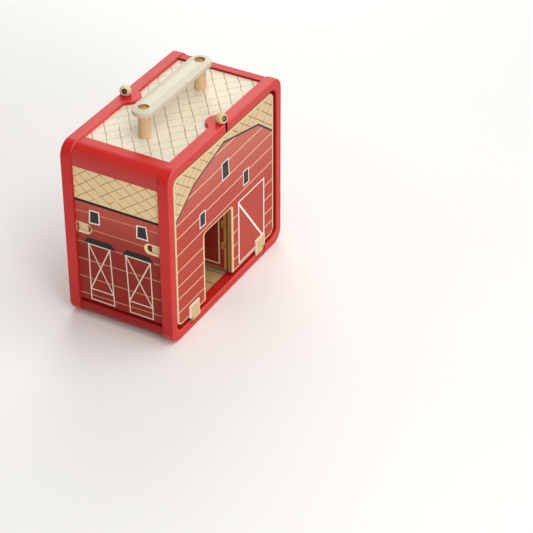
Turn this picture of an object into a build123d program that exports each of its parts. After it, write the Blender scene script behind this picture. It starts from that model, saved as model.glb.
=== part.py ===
from build123d import *
import math
import os

# Wooden toy barn built inside a carry frame. Two rounded frames, front and back, are tied together
# by four corner rails, a roof panel and a floor. The front and back panels fold down on pins in the
# bottom rails, the left end wall folds down between the frames and is held shut by two bolts, a
# plank door swings inside the front doorway, and a bar on two posts carries the barn by its roof.
# Origin: middle of the footprint, on the ground. +X is right, +Y is back, +Z is up. Millimetres.

# ---- Driving dimensions ----
BARN_WIDTH = 288.6  # across the front
BARN_DEPTH = 159.0  # front face to back face
FRAME_HEIGHT = 261.0  # ground to the top of both frames
FRAME_DEPTH = 16.0  # thickness of each frame board
RAIL_WIDTH = 13.3  # face width of a frame's stiles and top rail
BASE_RAIL = 12.5  # and of its bottom rail
FRAME_CORNER_R = 19.5
FRAME_INNER_R = 13.0
FRAME_EDGE_R = 1.6  # round-over on every frame edge

# Corner rails between the frames
CORNER_RECESS = 1.5  # they lie this much inside the frames' outline
LEFT_REACH = 32.0  # how far the left ones reach along the width
RIGHT_REACH = 26.0  # and the right ones
TOP_CORNER_DROP = 28.3  # how far a top rail comes down the side
BASE_CORNER_RISE = 24.5  # how far a base rail goes up the side
CORNER_EDGE_R = 1.0
DOWEL_R = 3.0
DOWEL_SEAT = 9.0  # length in the frame, and the same in the corner rail
DOWEL_INSET = 9.0  # from the free edge of a corner rail's leg

# Roof and floor
PANEL_STOCK = 8.0  # boards of the roof, the floor and the end walls
ROOF_SINK = 5.0  # roof surface below the frames' top
TAB_R = 17.0  # round tab behind each top rail
TAB_BACK = 11.8  # its centre, measured from the frame's outer face
TAB_FILLET = 7.0
TAB_GAP = 0.3
KNOB_SLOT_WIDTH = 4.6
KNOB_SLOT_DEPTH = 10.3

# Front and back fold-down panels
PANEL_THICKNESS = 8.2
PANEL_SINK = 2.4  # panel face behind the frame's face
PANEL_SIDE_GAP = 4.2
PANEL_TOP_GAP = 4.4
PANEL_BOTTOM_GAP = 6.2
PANEL_CORNER_R = 11.0
PANEL_HEEL_R = 2.5  # rounded lower back edge, for the fold
PANEL_EDGE_R = 0.8
DOORWAY_OFFSET = -21.0  # middle of the doorway from the barn's middle
DOORWAY_WIDTH = 70.3
DOORWAY_TOP = 124.0  # above the ground
DOORWAY_CORNER_R = 5.0

# Fold hinges of the front and back panels
HINGE_INSET = 27.6  # panel's side edge to the nearest side of a plate
HINGE_WIDTH = 24.2
HINGE_RISE = 22.3  # plate top above the bottom rail
HINGE_SHOULDER = 3.3  # plate shoulder above the bottom rail
HINGE_BEVEL = 0.8  # round the plate's face
TONGUE_WIDTH = 17.7
KNUCKLE_R = 2.0
HINGE_PIN_R = 0.9
HINGE_PIN_DROP = 2.1  # pin axis below the bottom rail's top
HINGE_PIN_SEAT = 6.0
NOTCH_SIDE_GAP = 0.4
NOTCH_FLOOR_GAP = 0.5
NOTCH_BACK_GAP = 2.5

# Turning knobs over the top rails
KNOB_R = 8.0
KNOB_SETBACK = 7.5  # knob's centre behind the frame's face
KNOB_FLAT = 4.6  # flat underside below the knob's centre
KNOB_LIFT = 0.6  # flat underside above the top rail
KNOB_PIN_R = 1.7
KNOB_PIN_SEAT = 16.0  # length in the panel
KNOB_PIN_TIP = 4.0  # pin end above the knob's centre
KNOB_PIN_NECK_R = 1.1  # groove that the knob's screw runs in
KNOB_PIN_NECK = (-1.4, 2.2)  # groove below and above the knob's centre
KNOB_SCREW_TILT = 19.0
FRONT_KNOB_TURN = 251.4  # where each knob's screw points, from +X
BACK_KNOB_TURN = 197.6
SCREW_HEAD_R = 1.9
SCREW_HEAD_DEPTH = 1.2
SCREW_SINK = 3.6  # seat of the screw head below the knob's surface
SCREW_TIP_R = 0.8
SCREW_TIP_GAP = 0.3
SINK_R = 3.2  # hole over the screw head
SINK_MOUTH_R = 5.6  # bevel round the hole, at the radius of the knob
SINK_MOUTH_DEPTH = 2.2

# Handle
HANDLE_SPAN = 137.4  # between the posts
HANDLE_WIDTH = 31.0
HANDLE_THICKNESS = 8.5
HANDLE_RISE = 37.6  # handle top above the frames
HANDLE_SLOPE = 7.5  # width of the slope from the flat top to the rim
HANDLE_DROP = 2.0  # height of that slope
HANDLE_RIM_R = 1.2  # round-over of the rim's upper and lower edge
CHANNEL_WIDTH = 14.4  # shallow channel along the top, between the posts
CHANNEL_DEPTH = 0.6
POST_R = 8.0
TENON_R = 7.2  # also the holes of the bar
TENON_SINK = 2.8
HANDLE_SCREW_R = 2.0
HANDLE_SCREW_HEAD_R = 4.0
HANDLE_SCREW_LENGTH = 26.0

# Plank door behind the doorway
DOOR_THICKNESS = 6.0
DOOR_HINGE_OFFSET = 3.8  # hinge axis outside the doorway's edge
DOOR_LATCH_LAP = 4.4
DOOR_HEAD_LAP = 3.0
DOOR_FLOOR_GAP = 7.0
DOOR_BACK_GAP = 0.6  # between the panel's back and the shut door
LUG_HEIGHTS = (57.5, 92.5)  # middles of the two hinge lugs above the ground
LUG_HEIGHT = 4.4
LUG_R = 2.0
LUG_GAP = 0.3
DOOR_NOTCH_DEPTH = 5.3
DOOR_PIN_R = 0.8
DOOR_PIN_SEAT = 6.0

# End walls
WALL_SINK = 3.3  # wall face inside the frames' outline
WALL_SIDE_GAP = 0.4
WALL_HEAD_GAP = 0.5
WALL_FOOT_GAP = 1.0
WALL_PIN_R = 1.5
WALL_PIN_SEAT = 7.0

# Bolts of the left end wall
BOLT_HEIGHT = 140.5  # above the ground
POCKET_WIDTH = 15.0  # bevelled mouth
POCKET_LENGTH = 23.2
POCKET_BEVEL = 2.5
POCKET_DEPTH = 6.3
BOLT_WIDTH = 9.4  # at its face; it widens inwards like a dovetail
BOLT_FLARE = 0.6  # wider on each side at its back
BOLT_LENGTH = 13.8
BOLT_GAP = 0.3
BOLT_THROW = 4.0  # length that goes into the frame
MORTISE_SINK = 1.0  # the frame's mortise starts this far inside the wall's face
BACK_BOLT_OPEN = 2.6  # the back bolt rests drawn back by this much

RUNNING_GAP = 0.05  # radial clearance of a piece that turns on a pin

# ---- Places worked out from the dimensions ----
SIDE_X = BARN_WIDTH / 2
FACE_Y = -BARN_DEPTH / 2
FRAME_BACK_Y = FACE_Y + FRAME_DEPTH
BAY_DEPTH = BARN_DEPTH - 2 * FRAME_DEPTH
RAIL_TOP = BASE_RAIL
HEAD_RAIL = FRAME_HEIGHT - RAIL_WIDTH
ROOF_TOP = FRAME_HEIGHT - ROOF_SINK
ROOF_UNDER = ROOF_TOP - PANEL_STOCK
FLOOR_TOP = RAIL_TOP

PANEL_FACE_Y = FACE_Y + PANEL_SINK
PANEL_BACK_Y = PANEL_FACE_Y + PANEL_THICKNESS
PANEL_WIDTH = BARN_WIDTH - 2 * (RAIL_WIDTH + PANEL_SIDE_GAP)
PANEL_BOTTOM = RAIL_TOP + PANEL_BOTTOM_GAP
PANEL_TOP = HEAD_RAIL - PANEL_TOP_GAP

HINGE_X = PANEL_WIDTH / 2 - HINGE_INSET - HINGE_WIDTH / 2  # middle of the right plate
FOLD_Y = FACE_Y + KNUCKLE_R
FOLD_Z = RAIL_TOP - HINGE_PIN_DROP
NOTCH_WIDTH = HINGE_WIDTH + 2 * NOTCH_SIDE_GAP
NOTCH_FLOOR = FOLD_Z - KNUCKLE_R - NOTCH_FLOOR_GAP
NOTCH_DEPTH = 2 * KNUCKLE_R + NOTCH_BACK_GAP

KNOB_Y = FACE_Y + KNOB_SETBACK
KNOB_UNDER = FRAME_HEIGHT + KNOB_LIFT
KNOB_Z = KNOB_UNDER + KNOB_FLAT

HANDLE_TOP = FRAME_HEIGHT + HANDLE_RISE
HANDLE_UNDER = HANDLE_TOP - HANDLE_THICKNESS

DOOR_AXIS_X = DOORWAY_OFFSET + DOORWAY_WIDTH / 2 + DOOR_HINGE_OFFSET
DOOR_AXIS_Y = PANEL_BACK_Y + DOOR_BACK_GAP + DOOR_THICKNESS / 2
DOOR_REACH = DOORWAY_WIDTH + DOOR_HINGE_OFFSET + DOOR_LATCH_LAP  # from the axis to the free edge
DOOR_BOTTOM = FLOOR_TOP + DOOR_FLOOR_GAP
DOOR_TOP = DOORWAY_TOP + DOOR_HEAD_LAP

WALL_FACE_X = -SIDE_X + WALL_SINK  # left wall; the right one mirrors it
WALL_MID_X = WALL_FACE_X + PANEL_STOCK / 2
WALL_WIDTH = BAY_DEPTH - 2 * WALL_SIDE_GAP
WALL_PIN_Z = BASE_CORNER_RISE + WALL_FOOT_GAP + PANEL_STOCK / 2
WALL_TOP = FRAME_HEIGHT - TOP_CORNER_DROP - WALL_HEAD_GAP

BOLT_THICKNESS = POCKET_DEPTH - POCKET_BEVEL - 2 * BOLT_GAP
BOLT_FACE_X = WALL_FACE_X + POCKET_BEVEL + BOLT_GAP


# ---- Helpers ----
def upright(outline, front_y, thickness):
    """Board cut from an X-Z outline, with its front face at front_y."""
    return extrude(Plane.XZ.offset(-(front_y + thickness)) * outline, thickness)


def block(x_span, y_span, z_span):
    """Plain cuboid between the given spans."""
    spans = (x_span, y_span, z_span)
    middle = [(low + high) / 2 for low, high in spans]
    return Pos(*middle) * Box(*[high - low for low, high in spans])


def rod(start, end, radius):
    """Straight round rod or hole from start to end."""
    path = Vector(*end) - Vector(*start)
    return extrude(Plane(origin=start, z_dir=path.normalized()) * Circle(radius), path.length)


def turned(shape):
    """The same piece on the back of the barn."""
    return Rot(0, 0, 180) * shape


def both_sides(shape):
    """A left piece and its mirror image on the right."""
    return [shape, mirror(shape, Plane.YZ)]


def near(value, target):
    return abs(value - target) < 0.01


def is_level(edge, z):
    """True for an edge that lies all at the height z."""
    box = edge.bounding_box()
    return near(box.min.Z, z) and near(box.max.Z, z)


# ---- Frames ----
def tab_outline(gap=0.0):
    """Plan of the round tab at the middle of a front top rail."""
    reach = 2 * TAB_R
    strip = Pos(0, FACE_Y + FRAME_DEPTH / 2) * Rectangle(2 * reach, FRAME_DEPTH)
    disc = Pos(0, FACE_Y + TAB_BACK) * Circle(TAB_R)
    outline = strip + (disc & Pos(0, FACE_Y + reach) * Rectangle(2 * reach, 2 * reach))
    corners = [v for v in outline.vertices() if near(v.Y, FRAME_BACK_Y) and abs(v.X) < TAB_R]
    outline = fillet(corners, TAB_FILLET)
    return offset(outline, gap) if gap else outline


def frame_outline(inset=0.0):
    """Outer outline of the frames, or one that lies inside it."""
    width, height = BARN_WIDTH - 2 * inset, FRAME_HEIGHT - 2 * inset
    return Pos(0, FRAME_HEIGHT / 2) * RectangleRounded(width, height, FRAME_CORNER_R - inset)


def bay_outline():
    """Opening of the frames, inside their rails and stiles."""
    width, height = BARN_WIDTH - 2 * RAIL_WIDTH, HEAD_RAIL - RAIL_TOP
    return Pos(0, (HEAD_RAIL + RAIL_TOP) / 2) * RectangleRounded(width, height, FRAME_INNER_R)


def knob_slot():
    """Slot in a front top rail, open at the face, that the knob's pin drops out of."""
    end_y = FACE_Y + KNOB_SLOT_DEPTH - KNOB_SLOT_WIDTH / 2
    width = KNOB_SLOT_WIDTH / 2
    straight = block((-width, width), (FACE_Y - 1, end_y), (HEAD_RAIL - 1, FRAME_HEIGHT + 1))
    return straight + rod((0, end_y, HEAD_RAIL - 1), (0, end_y, FRAME_HEIGHT + 1), width)


def hinge_notch(x):
    """Notch in a front bottom rail for one fold hinge, with the holes for its pin."""
    half = NOTCH_WIDTH / 2
    notch = block((x - half, x + half), (FACE_Y - 1, FACE_Y + NOTCH_DEPTH), (NOTCH_FLOOR, RAIL_TOP + 1))
    return notch + hinge_pin(x)


def hinge_pin(x):
    reach = NOTCH_WIDTH / 2 + HINGE_PIN_SEAT
    return rod((x - reach, FOLD_Y, FOLD_Z), (x + reach, FOLD_Y, FOLD_Z), HINGE_PIN_R)


def frame_blank():
    """Front frame with its tab, knob slot and hinge notches."""
    ring = frame_outline() - bay_outline()
    tab = extrude(Plane.XY.offset(HEAD_RAIL) * tab_outline(), RAIL_WIDTH)
    blank = upright(ring, FACE_Y, FRAME_DEPTH) + tab
    blank = fillet([e for e in blank.edges() if is_frame_rim(e)], FRAME_EDGE_R)
    blank -= knob_slot()
    for side in (-1, 1):
        blank -= hinge_notch(side * HINGE_X)
    return blank


def is_frame_rim(edge):
    """Edges of the two faces and of the tab; not the seams between curved and flat sides."""
    box = edge.bounding_box()
    on_face = near(box.min.Y, box.max.Y) and (near(box.min.Y, FACE_Y) or near(box.min.Y, FRAME_BACK_Y))
    on_tab = near(box.min.Z, box.max.Z) and box.max.Y > FRAME_BACK_Y + 0.1
    return on_face or on_tab


def dowels():
    """Dowels from both frames into the corner rails."""
    low_leg = BASE_CORNER_RISE - DOWEL_INSET
    high_leg = FRAME_HEIGHT - TOP_CORNER_DROP + DOWEL_INSET
    low_arm = (CORNER_RECESS + BASE_RAIL) / 2
    high_arm = FRAME_HEIGHT - (CORNER_RECESS + RAIL_WIDTH) / 2
    leg_x = SIDE_X - (CORNER_RECESS + RAIL_WIDTH) / 2
    pegs = []
    for side, reach in ((-1, LEFT_REACH), (1, RIGHT_REACH)):
        arm_x = SIDE_X - reach + DOWEL_INSET
        for x, z in ((leg_x, low_leg), (leg_x, high_leg), (arm_x, low_arm), (arm_x, high_arm)):
            start, end = FRAME_BACK_Y - DOWEL_SEAT, FRAME_BACK_Y + DOWEL_SEAT
            front = rod((side * x, start, z), (side * x, end, z), DOWEL_R)
            pegs += [front, mirror(front, Plane.XZ)]
    return pegs


def wall_pins():
    """Pins in the frames that the left end wall folds on."""
    start_y = FRAME_BACK_Y - WALL_PIN_SEAT
    end_y = FRAME_BACK_Y + WALL_SIDE_GAP + WALL_PIN_SEAT
    front = rod((WALL_MID_X, start_y, WALL_PIN_Z), (WALL_MID_X, end_y, WALL_PIN_Z), WALL_PIN_R)
    return [front, mirror(front, Plane.XZ)]


def bolt_mortise():
    """Socket in the front frame's left stile for the thrown bolt."""
    x_span = (WALL_FACE_X + MORTISE_SINK, BOLT_FACE_X + BOLT_THICKNESS + BOLT_GAP)
    y_span = (FRAME_BACK_Y - BOLT_THROW - 1, FRAME_BACK_Y + 1)
    half = BOLT_WIDTH / 2 + BOLT_FLARE + BOLT_GAP
    return block(x_span, y_span, (BOLT_HEIGHT - half, BOLT_HEIGHT + half))


def frames():
    cuts = [*dowels(), *wall_pins(), bolt_mortise(), mirror(bolt_mortise(), Plane.XZ)]
    front = frame_blank()
    back = turned(front)
    return {"front_frame": front - cuts, "back_frame": back - cuts}


def corner_rail(side, reach, z_span):
    """Rounded corner rail between the frames. side is -1 left, +1 right."""
    ring = frame_outline(CORNER_RECESS) - bay_outline()
    centre = (side * (SIDE_X - reach / 2), (z_span[0] + z_span[1]) / 2)
    outline = ring & Pos(*centre) * Rectangle(reach, z_span[1] - z_span[0])
    rail = upright(outline, FRAME_BACK_Y, BAY_DEPTH)
    return fillet([e for e in rail.edges().filter_by(Axis.Y) if is_free_lip(e)], CORNER_EDGE_R)


def is_free_lip(edge):
    """Outer long edge of a corner rail's upright leg."""
    middle = edge.center()
    on_leg_end = near(middle.Z, BASE_CORNER_RISE) or near(middle.Z, FRAME_HEIGHT - TOP_CORNER_DROP)
    return on_leg_end and near(abs(middle.X), SIDE_X - CORNER_RECESS)


def corner_rails():
    """Four corner rails, each bored for its dowels."""
    top_span = (FRAME_HEIGHT - TOP_CORNER_DROP, FRAME_HEIGHT)
    base_span = (0, BASE_CORNER_RISE)
    rails = {
        "top_corner_left": corner_rail(-1, LEFT_REACH, top_span),
        "top_corner_right": corner_rail(1, RIGHT_REACH, top_span),
        "base_corner_left": corner_rail(-1, LEFT_REACH, base_span),
        "base_corner_right": corner_rail(1, RIGHT_REACH, base_span),
    }
    return {name: rail - dowels() for name, rail in rails.items()}


def roof_and_floor():
    """Boards that fill the roof and the floor between the corner rails."""
    x_span, y_span = (LEFT_REACH - SIDE_X, SIDE_X - RIGHT_REACH), (FRAME_BACK_Y, -FRAME_BACK_Y)
    roof = block(x_span, y_span, (ROOF_UNDER, ROOF_TOP))
    tab_cut = extrude(Plane.XY.offset(ROOF_UNDER) * tab_outline(TAB_GAP), PANEL_STOCK)
    tab_cut &= block(x_span, (FRAME_BACK_Y, 0), (ROOF_UNDER, ROOF_TOP))
    floor = block(x_span, y_span, (FLOOR_TOP - PANEL_STOCK, FLOOR_TOP))
    return {"roof_panel": roof - [tab_cut, turned(tab_cut), *handle_screws()], "floor_panel": floor}


# ---- Fold-down panels ----
def panel_outline():
    height = PANEL_TOP - PANEL_BOTTOM
    return Pos(0, PANEL_BOTTOM + height / 2) * RectangleRounded(PANEL_WIDTH, height, PANEL_CORNER_R)


def doorway_outline():
    """Doorway, open at the panel's lower edge, with two rounded head corners."""
    height = 2 * (DOORWAY_TOP - PANEL_BOTTOM)
    return Pos(DOORWAY_OFFSET, PANEL_BOTTOM) * RectangleRounded(DOORWAY_WIDTH, height, DOORWAY_CORNER_R)


def fold_panel(outline):
    panel = upright(outline, PANEL_FACE_Y, PANEL_THICKNESS)
    back_face = panel.faces().sort_by(Axis.Y)[-1]
    heel = [e for e in back_face.edges() if near(e.bounding_box().max.Z, PANEL_BOTTOM)]
    panel = fillet(heel, PANEL_HEEL_R)
    face = panel.faces().sort_by(Axis.Y)[0]
    panel = fillet(face.edges(), PANEL_EDGE_R)
    return panel - knob_pin()


def hinge_plate(x, hand):
    """Wooden plate on a panel's face; its tongue carries the knuckle. hand is -1 left, +1 right."""
    half = HINGE_WIDTH / 2
    z_span = (RAIL_TOP + HINGE_SHOULDER, RAIL_TOP + HINGE_RISE)
    plate = block((-half, half), (FACE_Y, PANEL_FACE_Y), z_span)
    rim = plate.faces().sort_by(Axis.Y)[0].edges().sort_by(Axis.Z)[1:]
    plate = chamfer(rim, HINGE_BEVEL)
    tongue_span = (-half, -half + TONGUE_WIDTH)
    tongue = block(tongue_span, (FACE_Y, PANEL_FACE_Y), (FOLD_Z, RAIL_TOP + HINGE_SHOULDER))
    start, end = ((span, FOLD_Y, FOLD_Z) for span in tongue_span)
    plate += tongue + rod(start, end, KNUCKLE_R)
    plate -= rod(start, end, HINGE_PIN_R + RUNNING_GAP)
    if hand < 0:
        plate = mirror(plate, Plane.YZ)
    return Pos(x, 0, 0) * plate


def hinges():
    left, right = hinge_plate(-HINGE_X, -1), hinge_plate(HINGE_X, 1)
    pins = [hinge_pin(-HINGE_X), hinge_pin(HINGE_X)]
    return {
        "front_hinge_left": left,
        "front_hinge_right": right,
        "back_hinge_left": turned(right),
        "back_hinge_right": turned(left),
        "front_hinge_pins": pins,
        "back_hinge_pins": [turned(pin) for pin in pins],
    }


# ---- Knobs ----
def knob_pin():
    """Pin in the panel's top edge, with the groove that keeps the knob on."""
    start_z, end_z = PANEL_TOP - KNOB_PIN_SEAT, KNOB_Z + KNOB_PIN_TIP
    pin = rod((0, KNOB_Y, start_z), (0, KNOB_Y, end_z), KNOB_PIN_R)
    low, high = ((0, KNOB_Y, KNOB_Z + z) for z in KNOB_PIN_NECK)
    return pin - (rod(low, high, KNOB_PIN_R) - rod(low, high, KNOB_PIN_NECK_R))


def screw_axis(turn):
    """Plane at the front knob's centre whose z runs out along the knob's screw."""
    tilt, turn = math.radians(KNOB_SCREW_TILT), math.radians(turn)
    out = (math.cos(tilt) * math.cos(turn), math.cos(tilt) * math.sin(turn), math.sin(tilt))
    return Plane(origin=(0, KNOB_Y, KNOB_Z), z_dir=out)


def knob_screw(turn):
    """Retaining screw: a sunk head, and a tip that runs in the pin's groove."""
    seat = KNOB_R - SCREW_SINK
    tip_start = KNOB_PIN_NECK_R + SCREW_TIP_GAP
    head = Pos(0, 0, seat + SCREW_HEAD_DEPTH / 2) * Cylinder(SCREW_HEAD_R, SCREW_HEAD_DEPTH)
    tip = Pos(0, 0, (seat + tip_start) / 2) * Cylinder(SCREW_TIP_R, seat - tip_start)
    return screw_axis(turn) * (head + tip)


def knob(turn):
    """Round knob with a flat underside, a bore for the pin and a sunk hole for its screw."""
    bore_end = KNOB_Z + KNOB_PIN_TIP + RUNNING_GAP
    ball = Pos(0, KNOB_Y, KNOB_Z) * Sphere(KNOB_R)
    y_span = (KNOB_Y - KNOB_R, KNOB_Y + KNOB_R)
    ball &= block((-KNOB_R, KNOB_R), y_span, (KNOB_UNDER, KNOB_Z + KNOB_R))
    ball -= rod((0, KNOB_Y, KNOB_UNDER), (0, KNOB_Y, bore_end), KNOB_PIN_R + RUNNING_GAP)
    well = Pos(0, 0, KNOB_R - SCREW_SINK / 2) * Cylinder(SINK_R, SCREW_SINK)
    mouth = Pos(0, 0, KNOB_R - SINK_MOUTH_DEPTH / 2) * Cone(SINK_R, SINK_MOUTH_R, SINK_MOUTH_DEPTH)
    return ball - [screw_axis(turn) * (well + mouth), knob_screw(turn)]


def knobs():
    front_turn, back_turn = FRONT_KNOB_TURN, BACK_KNOB_TURN - 180
    return {
        "front_knob": knob(front_turn),
        "front_knob_screw": knob_screw(front_turn),
        "front_knob_pin": knob_pin(),
        "back_knob": turned(knob(back_turn)),
        "back_knob_screw": turned(knob_screw(back_turn)),
        "back_knob_pin": turned(knob_pin()),
    }


# ---- Handle ----
def handle_screws():
    """Screws from under the roof into the posts."""
    x = HANDLE_SPAN / 2
    head_height = HANDLE_SCREW_HEAD_R - HANDLE_SCREW_R
    head = Pos(x, 0, ROOF_UNDER + head_height / 2) * Cone(HANDLE_SCREW_HEAD_R, HANDLE_SCREW_R, head_height)
    screw = head + rod((x, 0, ROOF_UNDER), (x, 0, ROOF_UNDER + HANDLE_SCREW_LENGTH), HANDLE_SCREW_R)
    return both_sides(screw)


def handle_blank():
    """Round-ended bar whose top slopes to its rim, with a channel between the posts."""
    outline = SlotCenterToCenter(HANDLE_SPAN, HANDLE_WIDTH)
    bar = extrude(Plane.XY.offset(HANDLE_UNDER) * outline, HANDLE_THICKNESS)
    top = bar.faces().sort_by(Axis.Z)[-1]
    bar = chamfer(top.edges(), HANDLE_SLOPE, HANDLE_DROP, reference=top)
    rims = [HANDLE_UNDER, HANDLE_TOP - HANDLE_DROP]
    bar = fillet([e for e in bar.edges() if any(is_level(e, z) for z in rims)], HANDLE_RIM_R)
    x, y = HANDLE_SPAN / 2, CHANNEL_WIDTH / 2
    return bar - block((-x, x), (-y, y), (HANDLE_TOP - CHANNEL_DEPTH, HANDLE_TOP + 1))


def handle():
    """Carry bar on two posts; each post's tenon shows, slightly sunk, in the bar's hole."""
    bar = handle_blank()
    x = HANDLE_SPAN / 2
    post = rod((x, 0, ROOF_TOP), (x, 0, HANDLE_UNDER), POST_R)
    post += rod((x, 0, HANDLE_UNDER), (x, 0, HANDLE_TOP - TENON_SINK), TENON_R)
    post -= handle_screws()
    for side in (-1, 1):
        bar -= rod((side * x, 0, HANDLE_UNDER), (side * x, 0, HANDLE_TOP), TENON_R)
    right, left = both_sides(post)
    return {
        "handle_bar": bar,
        "handle_post_left": left,
        "handle_post_right": right,
        "handle_screws": handle_screws(),
    }


# ---- Plank door ----
def door_lug(z):
    """Block on the panel's back that carries one door pin."""
    plan = Pos(DOOR_AXIS_X, DOOR_AXIS_Y) * Circle(LUG_R)
    length = DOOR_AXIS_Y - PANEL_BACK_Y
    plan += Pos(DOOR_AXIS_X, PANEL_BACK_Y + length / 2) * Rectangle(2 * LUG_R, length)
    return extrude(Plane.XY.offset(z - LUG_HEIGHT / 2) * plan, LUG_HEIGHT)


def door_pin(z, radius):
    reach = LUG_HEIGHT / 2 + LUG_GAP + DOOR_PIN_SEAT
    return rod((DOOR_AXIS_X, DOOR_AXIS_Y, z - reach), (DOOR_AXIS_X, DOOR_AXIS_Y, z + reach), radius)


def door_leaf():
    """Door, standing open into the barn, with a round hinge edge and two notches for the lugs."""
    plan = Pos(DOOR_AXIS_X, DOOR_AXIS_Y) * Circle(DOOR_THICKNESS / 2)
    plan += Pos(DOOR_AXIS_X, DOOR_AXIS_Y + DOOR_REACH / 2) * Rectangle(DOOR_THICKNESS, DOOR_REACH)
    leaf = extrude(Plane.XY.offset(DOOR_BOTTOM) * plan, DOOR_TOP - DOOR_BOTTOM)
    half_width, half_notch = DOOR_THICKNESS / 2 + 1, LUG_HEIGHT / 2 + LUG_GAP
    notch_x = (DOOR_AXIS_X - half_width, DOOR_AXIS_X + half_width)
    notch_y = (DOOR_AXIS_Y - half_width, DOOR_AXIS_Y - DOOR_THICKNESS / 2 + DOOR_NOTCH_DEPTH)
    for z in LUG_HEIGHTS:
        leaf -= block(notch_x, notch_y, (z - half_notch, z + half_notch))
        leaf -= door_pin(z, DOOR_PIN_R + RUNNING_GAP)
    return leaf


def door():
    pins = [door_pin(z, DOOR_PIN_R) for z in LUG_HEIGHTS]
    lugs = [door_lug(z) - pin for z, pin in zip(LUG_HEIGHTS, pins)]
    return {"door_leaf": door_leaf(), "door_lugs": lugs, "door_pins": pins}


# ---- End walls ----
def slot_blank(length, width, depth, flare):
    """Straight slot with one round end, flaring by `flare` on each side over its depth.

    It starts at the front edge of the left wall's bay and runs back; its face is at x = 0.
    """
    start = FRAME_BACK_Y + WALL_SIDE_GAP
    middle = start + (length - width / 2) / 2
    outline = Pos(middle, BOLT_HEIGHT) * Rectangle(length - width / 2, width)
    outline += Pos(start + length - width / 2, BOLT_HEIGHT) * Circle(width / 2)
    taper = -math.degrees(math.atan2(flare, depth))
    return extrude(Plane.YZ * outline, depth, taper=taper)


def bolt_pocket():
    """Bevelled pocket with undercut sides that the front bolt slides in."""
    neck_length, neck_width = POCKET_LENGTH - POCKET_BEVEL, POCKET_WIDTH - 2 * POCKET_BEVEL
    bevel = slot_blank(POCKET_LENGTH, POCKET_WIDTH, POCKET_BEVEL, -POCKET_BEVEL)
    well = slot_blank(neck_length, neck_width, POCKET_DEPTH - POCKET_BEVEL, BOLT_FLARE)
    pocket = Pos(WALL_FACE_X, 0, 0) * bevel + Pos(WALL_FACE_X + POCKET_BEVEL, 0, 0) * well
    return pocket


def bolt():
    """Front bolt: a flat bar with dovetailed sides, its outer end level with the wall's edge."""
    start = FRAME_BACK_Y + WALL_SIDE_GAP
    outline = Pos(start + BOLT_LENGTH / 2, BOLT_HEIGHT) * Rectangle(BOLT_LENGTH, BOLT_WIDTH)
    taper = -math.degrees(math.atan2(BOLT_FLARE, BOLT_THICKNESS))
    bar = Pos(BOLT_FACE_X, 0, 0) * extrude(Plane.YZ * outline, BOLT_THICKNESS, taper=taper)
    return bar & block((-SIDE_X, 0), (start, start + BOLT_LENGTH), (0, FRAME_HEIGHT))


def left_wall():
    """Wall that folds down on its rounded foot, with a pocket for each bolt."""
    height = WALL_TOP - WALL_PIN_Z
    section = Pos(WALL_MID_X, WALL_PIN_Z + height / 2) * Rectangle(PANEL_STOCK, height)
    section += Pos(WALL_MID_X, WALL_PIN_Z) * Circle(PANEL_STOCK / 2)
    wall = upright(section, FRAME_BACK_Y + WALL_SIDE_GAP, WALL_WIDTH)
    hole_end = FRAME_BACK_Y + WALL_SIDE_GAP + WALL_PIN_SEAT + RUNNING_GAP
    hole_radius = WALL_PIN_R + RUNNING_GAP
    hole = rod((WALL_MID_X, FRAME_BACK_Y, WALL_PIN_Z), (WALL_MID_X, hole_end, WALL_PIN_Z), hole_radius)
    return wall - [bolt_pocket(), mirror(bolt_pocket(), Plane.XZ), hole, mirror(hole, Plane.XZ)]


def right_wall():
    """Fixed wall, held all round by the frames and the corner rails."""
    face = -WALL_FACE_X
    z_span = (BASE_CORNER_RISE, FRAME_HEIGHT - TOP_CORNER_DROP)
    return block((face - PANEL_STOCK, face), (FRAME_BACK_Y, -FRAME_BACK_Y), z_span)


def end_walls():
    return {
        "left_end_wall": left_wall(),
        "right_end_wall": right_wall(),
        "left_wall_front_bolt": bolt(),
        "left_wall_back_bolt": Pos(0, -BACK_BOLT_OPEN, 0) * mirror(bolt(), Plane.XZ),
    }


def barn():
    panel = fold_panel(panel_outline() - doorway_outline())
    parts = {"front_panel": panel, "back_panel": turned(fold_panel(panel_outline()))}
    for group in (frames, corner_rails, roof_and_floor, hinges, knobs, handle, door, end_walls):
        parts.update(group())
    parts["frame_dowels"] = dowels()
    parts["left_wall_pins"] = wall_pins()
    return parts


os.makedirs("parts", exist_ok=True)
for node, shape in barn().items():
    solids = shape if isinstance(shape, list) else [shape]
    solids = [solid for item in solids for solid in item.solids()]
    whole = solids[0] if len(solids) == 1 else Compound(children=solids)
    export_step(whole, f"parts/{node}.step")
    print(f"{node:24s} {len(solids)} solid(s)  {whole.volume / 1000:8.2f} cm3")
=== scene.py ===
# %% [markdown]
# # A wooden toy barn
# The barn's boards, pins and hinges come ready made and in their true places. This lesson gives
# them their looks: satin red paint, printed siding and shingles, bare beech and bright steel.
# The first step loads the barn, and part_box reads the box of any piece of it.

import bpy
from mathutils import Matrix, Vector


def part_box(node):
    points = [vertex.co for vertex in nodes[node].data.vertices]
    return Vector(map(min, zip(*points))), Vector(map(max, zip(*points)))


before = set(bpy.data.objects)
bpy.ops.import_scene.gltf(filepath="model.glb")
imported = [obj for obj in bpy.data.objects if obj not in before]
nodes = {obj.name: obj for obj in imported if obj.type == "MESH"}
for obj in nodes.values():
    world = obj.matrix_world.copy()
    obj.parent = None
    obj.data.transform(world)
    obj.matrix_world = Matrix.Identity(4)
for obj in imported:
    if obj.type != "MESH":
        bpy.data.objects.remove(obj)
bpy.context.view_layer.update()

# %% Modules and units
import functools
import math

import bpy
from mathutils import Vector

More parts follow.
